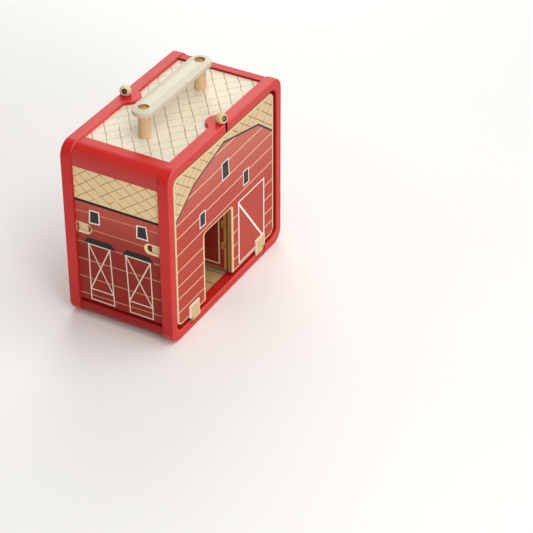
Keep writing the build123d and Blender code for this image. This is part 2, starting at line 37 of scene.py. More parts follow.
MM = 0.001
INK_DEPTH = 0.2  # mm: a print colours the board's face no deeper than this
PAINT_RELIEF, GRAIN_RELIEF, PRINT_RELIEF = 0.00004, 0.00005, 0.00003  # metres
scene = bpy.context.scene

# %% [markdown]
# ## The camera
# The barn is seen from its left front corner and from above, with a long lens that keeps the
# boards' edges nearly parallel. A camera looks along its own -Z, so it is tipped up from straight
# down by 90 degrees less its downward pitch, and then turned about the vertical.

# %% Camera
EYE = Vector((-1.88615, -1.19450, 1.58203))  # metres
TURN, PITCH, ROLL = 60.730, 35.171, -0.128  # degrees
LENS = 135.64  # millimetres, on a 36 mm sensor


def add_camera():
    bpy.ops.object.camera_add(location=EYE)
    camera = bpy.context.object
    camera.name = "studio_camera"
    camera.data.lens = LENS
    camera.data.sensor_width = 36.0
    camera.rotation_euler = (math.radians(90 - PITCH), 0, math.radians(-TURN))
    camera.rotation_euler.rotate_axis("Z", math.radians(ROLL))
    return camera


scene.camera = add_camera()
print("camera looks from", tuple(round(c, 3) for c in EYE))

# %% [markdown]
# ## Light
# Soft product light comes from three places. A wide lamp hangs almost straight above the barn and a
# little in front, so the tops are brightest and the shadows have soft edges. A weaker fill stands
# at the front left and opens the shade on the front and the left end. A round panel stands behind
# the barn, to the right: the tops mirror it, and that pale sheen is what makes paint look satin. A
# dim, even sky keeps shadows from going black.

# %% Lights
SKY = 0.30  # strength
WARM_WHITE = (1.0, 0.98, 0.94)
LAMPS = {  # name: direction, distance in metres, width in metres, power in watts
    "key_lamp": ((0.05, -0.31, 0.95), 2.6, 2.3, 35.5),
    "fill_lamp": ((-0.51, -0.75, 0.42), 2.4, 1.0, 15.3),
    "sheen_panel": ((0.713, 0.40, 0.576), 2.0, 1.2, 11.5),
}


def add_lamp(name, direction, distance, size, power):
    towards = Vector(direction).normalized()
    bpy.ops.object.light_add(type="AREA", location=towards * distance)
    lamp = bpy.context.object
    lamp.name = name
    lamp.data.shape = "DISK"
    lamp.data.size = size
    lamp.data.energy = power
    lamp.data.color = WARM_WHITE
    lamp.rotation_euler = towards.to_track_quat("Z", "Y").to_euler()
    print(name, [round(c, 2) for c in lamp.location], power, "W")


def add_sky(strength):
    world = bpy.data.worlds.new("sky")
    world.use_nodes = True
    background = world.node_tree.nodes["Background"]
    background.inputs["Color"].default_value = (1.0, 1.0, 1.0, 1.0)
    background.inputs["Strength"].default_value = strength
    scene.world = world


add_sky(SKY)
for name, (direction, distance, size, power) in LAMPS.items():
    add_lamp(name, direction, distance, size, power)
scene.view_settings.view_transform = "Standard"

# %% [markdown]
# ## Shader arithmetic
# Most finishes here are drawings: lines, windows and shingles at real places on a board. They are
# worked out with numbers that vary over the surface. The small class below wraps such a number, and
# its operators add Math nodes, so a formula reads as a formula. A `Finish` is one material, and its
# one `add` method makes every other kind of node.


# %% Values that vary over a surface
class Value:
    """A number on a surface; arithmetic on it adds Math nodes to its finish."""

    def __init__(self, finish, socket):
        self.finish, self.socket = finish, socket

    def __add__(self, other):
        return self.finish.maths("ADD", self, other)

    __radd__ = __add__

    def __sub__(self, other):
        return self.finish.maths("SUBTRACT", self, other)

    def __rsub__(self, other):
        return self.finish.maths("SUBTRACT", other, self)

    def __mul__(self, other):
        return self.finish.maths("MULTIPLY", self, other)

    __rmul__ = __mul__

    def __truediv__(self, other):
        return self.finish.maths("DIVIDE", self, other)

    def __abs__(self):
        return self.finish.maths("ABSOLUTE", self)

    def least(self, other):
        return self.finish.maths("MINIMUM", self, other)

    def most(self, other):
        return self.finish.maths("MAXIMUM", self, other)

    def over(self, limit):
        return self.finish.maths("GREATER_THAN", self, limit)

    def under(self, limit):
        return self.finish.maths("LESS_THAN", self, limit)

    def floor(self):
        return self.finish.maths("FLOOR", self)

    def zigzag(self, peak):
        return self.finish.maths("PINGPONG", self, peak)


# %% A material being mixed
class Finish:
    """One material. `add` makes a node from its type, its settings and its sockets."""

    def __init__(self, name):
        self.material = bpy.data.materials.new(name)
        self.material.use_nodes = True
        self.tree = self.material.node_tree
        self.tree.nodes.clear()
        self.shader = self.add("BsdfPrincipled")
        self.add("OutputMaterial", {}, {"Surface": self.shader.outputs[0]})
        self.place = self.add("TexCoord").outputs["Object"]
        split = self.add("SeparateXYZ", {}, {0: self.place})
        self.x, self.y, self.z = [Value(self, s) / MM for s in split.outputs]

    def add(self, kind, settings=None, sockets=None):
        node = self.tree.nodes.new("ShaderNode" + kind)
        for name, value in (settings or {}).items():
            setattr(node, name, value)
        for name, value in (sockets or {}).items():
            self.feed(node.inputs[name], value)
        return node

    def feed(self, target, value):
        source = value.socket if isinstance(value, Value) else value
        if isinstance(source, bpy.types.NodeSocket):
            self.tree.links.new(source, target)
        else:
            target.default_value = source

    def maths(self, operation, *terms):
        node = self.add("Math", {"operation": operation}, dict(enumerate(terms)))
        return Value(self, node.outputs[0])

    def ease(self, value, start, end):
        """0 before start, 1 after end, straight between them."""
        sockets = {"Value": value, "From Min": start, "From Max": end}
        return Value(self, self.add("MapRange", {}, sockets).outputs[0])

    def blend(self, factor, under, over):
        """Colour `under` where factor is 0, and `over` where it is 1."""
        node = self.add("Mix", {"data_type": "RGBA"}, {0: factor, 6: under, 7: over})
        return node.outputs[2]

    def point(self, x, y, z):
        return self.add("CombineXYZ", {}, {0: x, 1: y, 2: z}).outputs[0]

    def noise(self, where, scale, detail=2.0):
        sockets = {"Vector": where, "Scale": scale, "Detail": detail}
        return Value(self, self.add("TexNoise", {}, sockets).outputs["Fac"])

    def bump(self, height, distance, strength=1.0):
        """Relief with a height from 0 to 1, `distance` deep in metres."""
        sockets = {"Height": height, "Distance": distance, "Strength": strength}
        self.feed(self.shader.inputs["Normal"], self.add("Bump", {}, sockets).outputs[0])

    def finish(self, **sockets):
        for name, value in sockets.items():
            self.feed(self.shader.inputs[name.replace("_", " ")], value)
        print("finish", self.material.name, len(self.tree.nodes), "nodes")
        return self.material


# %% Paint chips
def chip(code):
    """Linear colour of a paint chip given as six hexadecimal digits."""
    channels = [int(code[i:i + 2], 16) / 255 for i in (0, 2, 4)]
    linear = [c / 12.92 if c <= 0.04045 else ((c + 0.055) / 1.055) ** 2.4 for c in channels]
    return (*linear, 1.0)


def ink(art, distance, half_width, soft=0.35):
    """1 within half_width of the stroke, fading to 0 over a soft edge."""
    return art.ease(distance, half_width + soft, half_width - soft)


def dress(material, *names):
    """Gives the material to the named pieces."""
    for name in names:
        piece = nodes[name]
        piece.data.materials.clear()
        piece.data.materials.append(material)
    print("dressed", ", ".join(names))


# %% [markdown]
# ## Red paint
# The frames and corner rails are beech, sprayed in satin red. Such paint is never quite even: its
# colour drifts by a few percent, its gloss varies, and the closed grain shows as a faint relief.
# The rails get thinner, flatter coats than the frames. The top rails' sides are paler, and the base
# rails are painted a deeper red as shade, and so is the foot of the left frame's side. A dark line
# of painted shade fills the crease where a rail is glued to a frame, and the stiles' inner sides
# are painted darker as shade too. The upper edges get a painted highlight. The surface's own normal
# finds
# them: only on a rounded upper edge does it lean both outwards and upwards. The slit that the
# knob's pin stands in is painted dark as shade.

# %% Red paint
# Places in mm: across and in depth from the barn's middle, and in height from the ground.
SEAM = 63.5  # depth of the joint between frames and rails; its crease is painted dark as shade
ON_SEAM = 0.06  # what is nearer to it than this is the frames' own inner side
RAIL_START = 112.0  # across: the corner rails begin
ROOF_TOP = 256.0  # height of the roof panel; the frames' inner sides are paler above it
PALE_SIDE_HEIGHTS = (258.0, 246.0)  # the top rails' sides turn paler between these
FOOT_SHADE_ACROSS, FOOT_SHADE_HEIGHTS = (-143.6, -144.2), (80.0, 5.0)  # painted shade: where the left side darkens towards its foot
SLIT_HALF = 2.4  # half width of the slit for the knob's pin
SLIT_START, SLIT_FOOT = 69.3, 240.0  # the depth and the height that it starts at
RECESS_END = 132.0  # across: nearer the middle, the stiles' inner sides are painted darker as shade
EDGE_HIGHLIGHT = (0.15, 0.42)  # lean outwards times lean upwards, from no painted highlight to a full one


def red_paint(name, pale, warm, shine, side_paling=0.0):
    """Satin red. shine is the strength of its mirror layer, and side_paling how pale its sides are.
    """
    paint = Finish(name)
    drift = paint.noise(paint.place, 14.0, 3.0)
    colour = paint.blend(drift, chip(pale), chip(warm))
    side = paint.ease(paint.z, *PALE_SIDE_HEIGHTS)
    colour = paint.blend(side_paling * side, colour, chip("c84a46"))
    # Painted shade: the left frame's outer side darkens towards the floor.
    foot_shade = paint.ease(paint.x, *FOOT_SHADE_ACROSS) * paint.ease(paint.z, *FOOT_SHADE_HEIGHTS)
    colour = paint.blend(0.45 * foot_shade, colour, chip("8d0f12"))

    # Painted shade: a dark line along the crease of the joint.
    from_seam = abs(abs(paint.y) - SEAM)
    crease_shade = ink(paint, from_seam, 0.45, 0.3) * from_seam.over(ON_SEAM)
    crease_shade = crease_shade * abs(paint.x).over(RAIL_START)
    colour = paint.blend(0.65 * crease_shade, colour, chip("5a0a0c"))
    beside_roof = from_seam.under(ON_SEAM) * paint.z.over(ROOF_TOP)
    colour = paint.blend(0.45 * beside_roof, colour, chip("ee5a52"))

    lean = paint.add("SeparateXYZ", {}, {0: paint.add("TexCoord").outputs["Normal"]})
    across, out, up = [Value(paint, s) for s in lean.outputs]
    # Painted shade: the stiles' inner sides are darkened.
    faces_middle = (paint.x * across).under(-100.0)
    recess_shade = faces_middle * abs(paint.x).under(RECESS_END)
    colour = paint.blend(0.5 * recess_shade, colour, chip("52080b"))
    # Painted highlight: rounded upper edges are lightened where light would catch them.
    edge_highlight = paint.ease(abs(out) * up, *EDGE_HIGHLIGHT)
    colour = paint.blend(0.7 * edge_highlight, colour, chip("f07068"))
    # Painted shade: the slit for the knob's pin is painted dark.
    slit_shade = abs(paint.x).under(SLIT_HALF) * abs(paint.y).over(SLIT_START) * paint.z.over(SLIT_FOOT)
    colour = paint.blend(slit_shade, colour, chip("3a0608"))

    gloss = 0.36 + 0.12 * paint.noise(paint.place, 60.0)
    paint.bump(paint.noise(paint.place, 900.0, 1.0), PAINT_RELIEF)
    return paint.finish(Base_Color=colour, Roughness=gloss, Specular_IOR_Level=shine)


dress(red_paint("red_frames", "cd1d1b", "d52620", 0.36), "front_frame", "back_frame")
dress(red_paint("red_top_rails", "cc211e", "d32a24", 0.24, 0.75),
      "top_corner_left", "top_corner_right")
# Painted shade: the base rails' red is deeper, standing for the shade near the floor.
dress(red_paint("shaded_red_base_rails", "9d1216", "a8181a", 0.24),
      "base_corner_left", "base_corner_right")

# %% [markdown]
# ## Beech
# Beech is pale, pinkish and plain. What tells it apart is its short dark flecks along the grain.
# A noise that is stretched along the grain gives the long, soft bands, and a second, finer one,
# cut off so that only its peaks stay, gives the flecks.


# %% Beech
def beech_grain(wood, along, pale, warm):
    """Colour and bands of beech. along is 0, 1 or 2: the axis that the grain follows."""
    squeeze = [1.0, 1.0, 1.0]
    squeeze[along] = 0.08
    lie = wood.add("VectorMath", {"operation": "MULTIPLY"}, {0: wood.place, 1: squeeze}).outputs[0]
    bands = wood.noise(lie, 160.0, 3.0)
    flecks = wood.ease(wood.noise(lie, 1400.0, 1.0), 0.62, 0.72)
    colour = wood.blend(bands, chip(pale), chip(warm))
    wood.bump(bands - 0.3 * flecks, GRAIN_RELIEF)
    return wood.blend(0.3 * flecks, colour, chip("a97c4f")), bands


def beech(name, along, pale, warm):
    wood = Finish(name)
    colour, bands = beech_grain(wood, along, pale, warm)
    return wood.finish(Base_Color=colour, Roughness=0.5 + 0.1 * bands)


dress(beech("beech_lengthwise", 1, "f6dbb2", "e8c497"),
      "left_wall_front_bolt", "left_wall_back_bolt", "frame_dowels")
dress(beech("beech_lug", 2, "c99a63", "b98650"), "door_lugs")

# %% [markdown]
# End grain drinks more lacquer than the sides of the same dowel, so the tops of the posts, which
# show in the handle's holes, are darker.

# %% Posts
TENON_TOP = 290.2  # mm; above it only the inside of the handle's holes shows


def post_beech():
    wood = Finish("beech_posts")
    colour, bands = beech_grain(wood, 2, "edd1a6", "ddb98c")
    colour = wood.blend(wood.z.over(TENON_TOP), colour, chip("b88d55"))
    return wood.finish(Base_Color=colour, Roughness=0.5 + 0.1 * bands)


dress(post_beech(), "handle_post_left", "handle_post_right")

# %% [markdown]
# A ball's hole is bare, rough wood, painted dark brown as the shade inside it. Everything nearer
# to the ball's middle than its skin must be hole, so one distance picks it out.

# %% Balls
BALL_Y, BALL_Z, BALL_R = 72.0, 266.2, 8.0  # mm: a ball's depth from the middle, height and radius


def ball_beech(name, side, pale, warm):
    wood = Finish(name)
    colour, bands = beech_grain(wood, 2, pale, warm)
    here, middle = wood.point(wood.x, wood.y, wood.z), (0.0, side * BALL_Y, BALL_Z)
    gap = wood.add("VectorMath", {"operation": "DISTANCE"}, {0: here, 1: middle})
    # Painted shade: the hole's walls are dark brown.
    inside = wood.ease(Value(wood, gap.outputs["Value"]), BALL_R - 0.15, BALL_R - 0.9)
    colour = wood.blend(inside, colour, chip("6d4528"))
    return wood.finish(Base_Color=colour, Roughness=0.5 + 0.1 * bands)


dress(ball_beech("beech_front_ball", -1, "ead0a0", "dcbb88"), "front_knob")
dress(ball_beech("beech_back_ball", 1, "f6e4c4", "edd4ac"), "back_knob")

# %% [markdown]
# ## Steel
# Most pins and screws are bright drawn steel: metal, with fine scratches that roughen it unevenly.
# The door's pins are painted near black as shade, and the back knob's screw is painted a brownish
# grey as shade and as a reflection of its brown hole.


# %% Steel
def steel(name, code):
    metal = Finish(name)
    scratches = metal.noise(metal.place, 2500.0, 2.0)
    return metal.finish(Base_Color=chip(code), Metallic=1.0, Roughness=0.22 + 0.25 * scratches)


PINS = ["front_hinge_pins", "back_hinge_pins", "left_wall_pins", "front_knob_pin", "back_knob_pin"]
dress(steel("bright_steel", "c9cbd0"), *PINS, "handle_screws")
# Painted shade: the door's pins are near black.
dress(steel("shaded_door_steel", "2e2824"), "door_pins")
dress(steel("screw_steel", "d3d2de"), "front_knob_screw")
# Painted shade and reflection: the back knob's screw is brownish grey.
dress(steel("shaded_back_screw_steel", "9a7c6e"), "back_knob_screw")

# %% [markdown]
# ## Handle
# The bar is dipped in cream-white paint down to its lower edge, which stays bare beech, and so do
# the walls of the two holes that the posts come up through; those walls are painted darker as the
# holes' shade. A shallow channel runs between the holes: its near edge has a darker line of painted
# shade, and its far one a pale line of painted highlight.

# %% Handle paint
DIP_LINE = 292.6  # mm above the ground
HOLE_X, HOLE_R = 68.7, 7.2  # mm: from the bar's middle to a hole's, and its radius
CHANNEL_EDGE = 7.2  # mm from the bar's middle


def handle_paint():
    paint = Finish("cream_handle")
    drift = paint.noise(paint.place, 30.0, 2.0)
    cream = paint.blend(drift, chip("d6ceb8"), chip("dcd4c0"))
    between = abs(paint.x).under(HOLE_X)
    # Painted shade along the near edge, painted highlight along the far one.
    channel_shade = ink(paint, abs(paint.y + CHANNEL_EDGE), 0.55) * between
    channel_highlight = ink(paint, abs(paint.y - CHANNEL_EDGE), 0.3, 0.5) * between
    cream = paint.blend(0.75 * channel_shade, cream, chip("a69e82"))
    cream = paint.blend(0.6 * channel_highlight, cream, chip("eae5d6"))
    bare = paint.ease(paint.z, DIP_LINE + 0.4, DIP_LINE - 0.4)
    from_hole = paint.point(abs(paint.x) - HOLE_X, paint.y, 0.0)
    radius = paint.add("VectorMath", {"operation": "LENGTH"}, {0: from_hole}).outputs["Value"]
    # Bare beech in the holes, painted darker as their shade.
    shaded_hole_wall = Value(paint, radius).under(HOLE_R + 0.15)
    colour = paint.blend(bare, cream, chip("e3d0aa"))
    colour = paint.blend(shaded_hole_wall, colour, chip("b08a58"))
    paint.bump(paint.noise(paint.place, 900.0, 1.0), PAINT_RELIEF)
    return paint.finish(Base_Color=colour, Roughness=0.4 + 0.15 * bare)


dress(handle_paint(), "handle_bar")

# %% [markdown]
# ## Printing on boards
# The panels are pale plywood, printed on one face. The printed drawings are made of a few strokes,
# each at its real place in millimetres. The helpers below answer one question for any point of the
# surface: how far is it from this line, this window or this edge? A distance then becomes ink.


# %% Strokes
def reach(art, u, v, start, end):
    """Distance in mm from the point (u, v) to the straight stroke from start to end."""
    run = Vector((end[0] - start[0], end[1] - start[1], 0))
    away = art.point(u - start[0], v - start[1], 0.0)
    both = {0: away, 1: run / run.length_squared}
    share = art.add("VectorMath", {"operation": "DOT_PRODUCT"}, both).outputs["Value"]
    share = Value(art, art.add("Clamp", {}, {0: share}).outputs[0])
    foot = art.add("VectorMath", {"operation": "SCALE"}, {0: run, "Scale": share}).outputs[0]
    gap = art.add("VectorMath", {"operation": "DISTANCE"}, {0: away, 1: foot})
    return Value(art, gap.outputs["Value"])


def left_of(art, u, v, start, end):
    """Signed distance in mm from the endless line start-end, positive on its left."""
    du, dv = end[0] - start[0], end[1] - start[1]
    length = math.hypot(du, dv)
    part = art.maths("MULTIPLY_ADD", u, -dv / length, (start[0] * dv - start[1] * du) / length)
    return art.maths("MULTIPLY_ADD", v, du / length, part)


def shape_gap(art, u, v, corners):
    """Distance outside a convex shape whose corners run clockwise; negative inside it."""
    sides = zip(corners, corners[1:] + corners[:1])
    return farthest([left_of(art, u, v, start, end) for start, end in sides])


def frame_gap(u, v, low, high):
    """Distance in mm outside the box from low to high; negative inside it."""
    across = abs(u - (low[0] + high[0]) / 2) - (high[0] - low[0]) / 2
    up = abs(v - (low[1] + high[1]) / 2) - (high[1] - low[1]) / 2
    return across.most(up)


def round_gap(art, u, v, low, high, radius):
    """As frame_gap, for a box with rounded corners; good near its outline only."""
    across = abs(u - (low[0] + high[0]) / 2) - ((high[0] - low[0]) / 2 - radius)
    up = abs(v - (low[1] + high[1]) / 2) - ((high[1] - low[1]) / 2 - radius)
    corner = art.point(across.most(0.0), up.most(0.0), 0.0)
    outside = art.add("VectorMath", {"operation": "LENGTH"}, {0: corner}).outputs["Value"]
    return Value(art, outside) + across.most(up).least(0.0) - radius


def closest(distances):
    return functools.reduce(Value.least, distances)


def farthest(distances):
    return functools.reduce(Value.most, distances)


# %% [markdown]
# Plywood is thin sheets glued with their grain crossed. A sawn edge shows them as light and dark
# stripes, and a zigzag of the depth below the face draws those.

# %% Bare plywood
PANEL_THICKNESS = 8.0  # mm, of the roof and the floor
PLY_FACE, PLY_LAYER = ("e3c18d", "d3a86f"), "8f5f35"


def plywood(art, depth, thickness, face=PLY_FACE):
    """Board whose edges show its glued layers across `depth`, a distance from its face."""
    stripe = art.ease((depth * (2.5 / thickness)).zigzag(1.0), 0.35, 0.65)
    upright = {0: art.place, 1: (1.0, 1.0, 0.06)}
    lie = art.add("VectorMath", {"operation": "MULTIPLY"}, upright).outputs[0]
    wood = art.blend(art.noise(lie, 260.0, 3.0), chip(face[0]), chip(face[1]))
    return art.blend(0.5 * stripe, wood, chip(PLY_LAYER))


# %% [markdown]
# ## Shingles
# The roofs are drawn as two families of slanting pencil lines. One number counts the lines across,
# another runs along them. The count, fed to a noise together with the run, breaks each line into
# strokes of its own length, as a hand would draw them.


# %% Pencil strokes
def pencil(art, distance, along, line, half_width, gaps):
    """Ink of a family of strokes. line numbers them; gaps is the share of length left out."""
    lift = art.noise(art.point(along * 0.035, line * 3.7, 0.5), 1.0, 1.0)
    broken = art.ease(lift, gaps - 0.03, gaps + 0.03)
    press = art.ease(art.noise(art.point(along * 0.2, line * 5.1, 2.5), 1.0, 1.0), 0.2, 0.6)
    return ink(art, distance, half_width) * broken * (0.55 + 0.45 * press)


def slant(art, u, v, angle):
    """Distances in mm across and along a slanting direction, with a slight waver."""
    turn = math.radians(angle)
    across = v * math.cos(turn) - u * math.sin(turn)
    along = u * math.cos(turn) + v * math.sin(turn)
    waver = art.noise(art.point(u * 0.03, v * 0.03, angle), 1.0, 1.0)
    return across + 2.4 * (waver - 0.5), along


def even_hatch(art, u, v, angle, spacing, shift, half_width, gaps):
    """Strokes at even spacing."""
    across, along = slant(art, u, v, angle)
    across = across + shift
    line = (across / spacing + 0.5).floor()
    return pencil(art, across.zigzag(spacing / 2), along, line, half_width, gaps)


def placed_hatch(art, u, v, angle, places, half_width, gaps):
    """Strokes at given places across."""
    across, along = slant(art, u, v, angle)
    distance = closest([abs(across - place) for place in places])
    line = (across / (places[1] - places[0]) + 0.5).floor()
    return pencil(art, distance, along, line, half_width, gaps)


def shingles(art, u, v, ground, families):
    """families: angle, spacing, shift, half width, gaps, colour and strength of each."""
    for *lines, code, strength in families:
        ground = art.blend(strength * even_hatch(art, u, v, *lines), ground, chip(code))
    return ground


# %% Roof panel
ROOF_FAINT = [(-40.0, 15.9, 4.5, 0.45, 0.40, "bd9266", 0.85)]
ROOF_DARK = [-111.5, -94.5, -77.5, -60.6, -45.1, -23.9, -9.3]  # mm across the strokes
ROOF_DARK += [10.0, 25.5, 39.0, 57.8, 72.0, 90.5, 107.5]
ROOF_ANGLE, ROOF_HALF_WIDTH, ROOF_GAPS = 37.6, 0.55, 0.36  # degrees, mm, share left out


def roof_print():
    art = Finish("roof_print")
    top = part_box("roof_panel")[1].z / MM
    drift = art.noise(art.place, 20.0, 3.0)
    ground = art.blend(drift, chip("efe9d8"), chip("e9e0c8"))
    sway = art.noise(art.point(art.x, art.y, 0.0), 0.06, 1.0) - 0.5  # a freehand stroke bends
    drawn = shingles(art, art.x, art.y + 3.0 * sway, ground, ROOF_FAINT)
    dark = placed_hatch(art, art.x + 5.0 * sway, art.y, ROOF_ANGLE, ROOF_DARK,
                        ROOF_HALF_WIDTH, ROOF_GAPS)
    drawn = art.blend(dark, drawn, chip("a4713f"))
    on_top = art.z.over(top - INK_DEPTH)
    colour = art.blend(on_top, plywood(art, top - art.z, PANEL_THICKNESS), drawn)
    art.bump(drift, PRINT_RELIEF)
    return art.finish(Base_Color=colour, Roughness=0.52 + 0.1 * drift)


dress(roof_print(), "roof_panel")

# %% [markdown]
# ## Siding
# The front of the barn is a drawing too: a dark gambrel line parts the shingles from red boards,
# whose joints rise a little to the right. Three windows and a great door with one brace are drawn
# in white. The print stops short of the panel's edges and of the doorway, so a bare rim shows
# there. The sawn edges are darker, browner wood than the faces, and painted darker still as the
# doorway's shade; the doorway's side that the door is hung on gets a dark crease of painted shade.
# Inside, the panel is bare plywood.

# %% Places of the front drawing
# Points are (across, height) in mm, seen from outside. A joint is its heights at both ends.
GAMBREL = [(-123.8, 179.5), (-79.6, 211.6), (-3.5, 234.2), (86.6, 213.0), (121.6, 185.6)]
FRONT_LINES = [  # as shingles() takes them
    (39.0, 13.0, 3.0, 0.5, 0.33, "a9763f", 0.9),
    (-37.0, 12.3, -6.4, 0.65, 0.34, "94602c", 0.95),
]
FRONT_JOINTS = [(226.6, 225.5), (198.7, 204.0), (174.1, 181.4), (154.0, 160.0), (128.6, 136.8)]
FRONT_JOINTS += [(103.8, 107.8), (80.5, 84.3), (61.3, 61.6), (40.0, 40.2), (18.6, 19.8)]
FRONT_WINDOWS = [
    [(-9.7, 204.7), (7.9, 204.9), (10.2, 177.3), (-8.6, 176.6)],
    [(45.0, 162.3), (60.5, 162.0), (60.5, 138.9), (45.0, 139.2)],
    [(-67.3, 159.7), (-51.9, 159.5), (-51.9, 136.9), (-67.3, 137.1)],
]
GREAT_DOOR = ((31.0, 22.8), (101.5, 122.5))
GREAT_DOOR_INSIDE = ((33.6, 24.8), (98.9, 120.5))
BRACE = ((32.0, 120.0), (101.0, 25.0))
STRIP_START, STRIP_END, STRIP_TOP = 14.0, 31.0, 118.0  # the boards between the two doors
STRIP_DROP = 2.5  # mm that their joints are lower than the rest
GAMBREL_HALF, BRACE_HALF, JOINT_HALF = 1.4, 1.5, 0.75  # mm: half widths of the lines
ROOF_CLEAR = 3.35  # mm from the middle of the gambrel line to the ends of the shingle strokes
LIGHT_HEIGHTS, LIGHT_TILT = (132.0, 220.0), 0.2  # the heights between which painted light pales the red, and their slope
WHITE, DARK = "fbfaf3", "23261f"

# %% [markdown]
# A window, the joints between boards and the painted light that pales the red are needed more than
# once, so each is a function. The painted light follows height, and long streaks of noise keep its
# border from being a clean line.

# %% Parts of a drawing
BORDER, PANE = 1.7, 2.7  # mm in from a window's edge: its black line, then its pane


def window(art, colour, u, v, corners, pane):
    """A dark pane in a white border, with a thin black line between them."""
    gap = shape_gap(art, u, v, corners)
    planks = art.noise(art.point(u * 0.9, v * 0.03, 1.0), 1.0, 1.0)
    colour = art.blend(ink(art, gap, 0.0, 0.3), colour, chip(WHITE))
    colour = art.blend(ink(art, gap + BORDER, 0.0, 0.3), colour, chip("0c0b0a"))
    inside = art.blend(planks, chip(pane), chip("241e19"))
    return art.blend(ink(art, gap + PANE, 0.0, 0.4), colour, inside)


def joint_ink(art, u, v, joints, half_length, half_width):
    """Ink of the board joints; each joint is its height at the left and the right end."""
    ends = [((-half_length, left), (half_length, right)) for left, right in joints]
    return ink(art, closest([abs(left_of(art, u, v, *line)) for line in ends]), half_width)


def painted_light_boards(art, height, low, high, deep, lit_colour):
    """Board colour paled by painted light with height from low to high, with long streaks of grain.
    """
    streaks = art.noise(art.point(art.x * 0.02, art.y * 0.02, art.z * 0.35), 1.0, 2.0)
    light_share = art.ease(height, low, high) + 0.5 * (streaks - 0.5)
    return art.blend(light_share.most(0.0).least(1.0), chip(deep), chip(lit_colour))


# %% The front drawing
def front_drawing(art, u, v, drift, half, beside_door):
    """The barn front, printed edge to edge. beside_door is 1 on the panel with the doorway."""
    above = farthest([left_of(art, u, v, *side) for side in zip(GAMBREL, GAMBREL[1:])])
    ground = art.blend(drift, chip("e7cda2"), chip("dfc293"))
    roof = shingles(art, u, v, ground, FRONT_LINES)
    roof = art.blend(art.ease(above, ROOF_CLEAR + 0.25, ROOF_CLEAR - 0.25), roof, ground)

    # Painted light: the red boards pale towards the top.
    siding = painted_light_boards(art, v + LIGHT_TILT * u, *LIGHT_HEIGHTS, "be3d2d", "cf6c5c")
    strip = u.over(STRIP_START) * u.under(STRIP_END) * v.under(STRIP_TOP) * beside_door
    joints = joint_ink(art, u, v + STRIP_DROP * strip, FRONT_JOINTS, half, JOINT_HALF)
    siding = art.blend(joints, siding, chip("eecfa8"))
    outside = ink(art, frame_gap(u, v, *GREAT_DOOR), 0.0, 0.3)
    inside = ink(art, frame_gap(u, v, *GREAT_DOOR_INSIDE), 0.0, 0.3)
    brace = ink(art, reach(art, u, v, *BRACE), BRACE_HALF, 0.3)
    siding = art.blend(outside, siding, chip(WHITE))
    field = art.blend(drift, chip("bf3f2f"), chip("c44634"))
    siding = art.blend(inside * (1.0 - brace), siding, field)
    for corners in FRONT_WINDOWS:
        siding = window(art, siding, u, v, corners, "3a2f27")
    drawn = art.blend(art.ease(above, 0.3, -0.3), roof, siding)
    return art.blend(ink(art, abs(above), GAMBREL_HALF), drawn, chip(DARK))


# %% [markdown]
# The print ends at rounded margins. A negative sign turns a distance inside out, which is how the
# doorway's rim is taken away from the printed part.

# %% Margins of the print
MARGIN, FOOT_MARGIN, CORNER = 3.0, 2.4, 7.0  # mm: sides and top, foot, and corner radius
DOORWAY = ((-59.85, 0.0), (17.85, 126.0))  # mm: the doorway with its bare rim
JAMB, JAMB_TOP = 14.15, 121.5  # mm: the doorway's side that the door is hung on
SHADED_SAWN_FACE = ("cf9a62", "bb824b")


def margin_gap(art, u, v, low, high, doorway):
    """Distance in mm outside the printed part of a panel whose box runs from low to high."""
    low = (low[0] + MARGIN, low[1] + FOOT_MARGIN)
    high = (high[0] - MARGIN, high[1] - MARGIN)
    gap = round_gap(art, u, v, low, high, CORNER)
    if doorway:
        gap = gap.most(-1.0 * round_gap(art, u, v, *doorway, CORNER))
    return gap


# %% Front and back panels
def panel_print(name, node, facing, doorway):
    """Finish of a fold-down panel. facing is -1 for the front and +1 for the back."""
    art = Finish(name)
    low, high = [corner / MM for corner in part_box(node)]
    u, face = (art.x, low.y) if facing < 0 else (-1.0 * art.x, -high.y)
    depth = -facing * art.y - face
    drift = art.noise(art.place, 18.0, 3.0)
    wave = art.noise(art.point(u, art.z, 0.0), 0.03, 1.0) - 0.5
    drawn = front_drawing(art, u, art.z + 1.0 * wave, drift, high.x, 1.0 if doorway else 0.0)
    gap = margin_gap(art, u, art.z, (low.x, low.z), (high.x, high.z), doorway)
    printed = art.ease(gap, 0.3, -0.3) * depth.under(INK_DEPTH)
    sawn = art.ease(depth, 0.8, 1.8)
    thickness = high.y - low.y
    # Sawn edges: darker wood, partly painted shade.
    edge = plywood(art, depth, thickness, SHADED_SAWN_FACE)
    inner = art.ease(depth, thickness - 0.3, thickness - 0.1)
    edge = art.blend(inner, edge, plywood(art, depth, thickness))
    if doorway:
        hinge_side = u.over(JAMB - 0.3) * u.under(JAMB + 0.3) * art.z.under(JAMB_TOP)
        # Painted shade: the gap at the hinge side is painted dark.
        hinge_gap_shade = hinge_side * art.ease(depth, thickness - 1.8, thickness - 1.0)
        edge = art.blend(hinge_gap_shade, edge, chip("3c2110"))
    bare = art.blend(sawn, chip("efd7a8"), edge)
    colour = art.blend(printed, bare, drawn)
    art.bump(drift, PRINT_RELIEF)
    return art.finish(Base_Color=colour, Roughness=0.5 + 0.08 * drift, Specular_IOR_Level=0.3)


dress(panel_print("front_print", "front_panel", -1, DOORWAY), "front_panel")
dress(panel_print("back_print", "back_panel", 1, None), "back_panel")

# %% [markdown]
# ## End walls
# Each end shows the long side of the roof, the eaves line, and red boards with two small windows
# and two braced gates under dark lintels. The drawing is done by hand, so no gate is quite square.
# The left wall has two pockets cut in it for its bolts. Their wood is bare: the bevel round a
# pocket's mouth is pale, and everything deeper, with the pocket's outer end, is painted dark as
# shade.

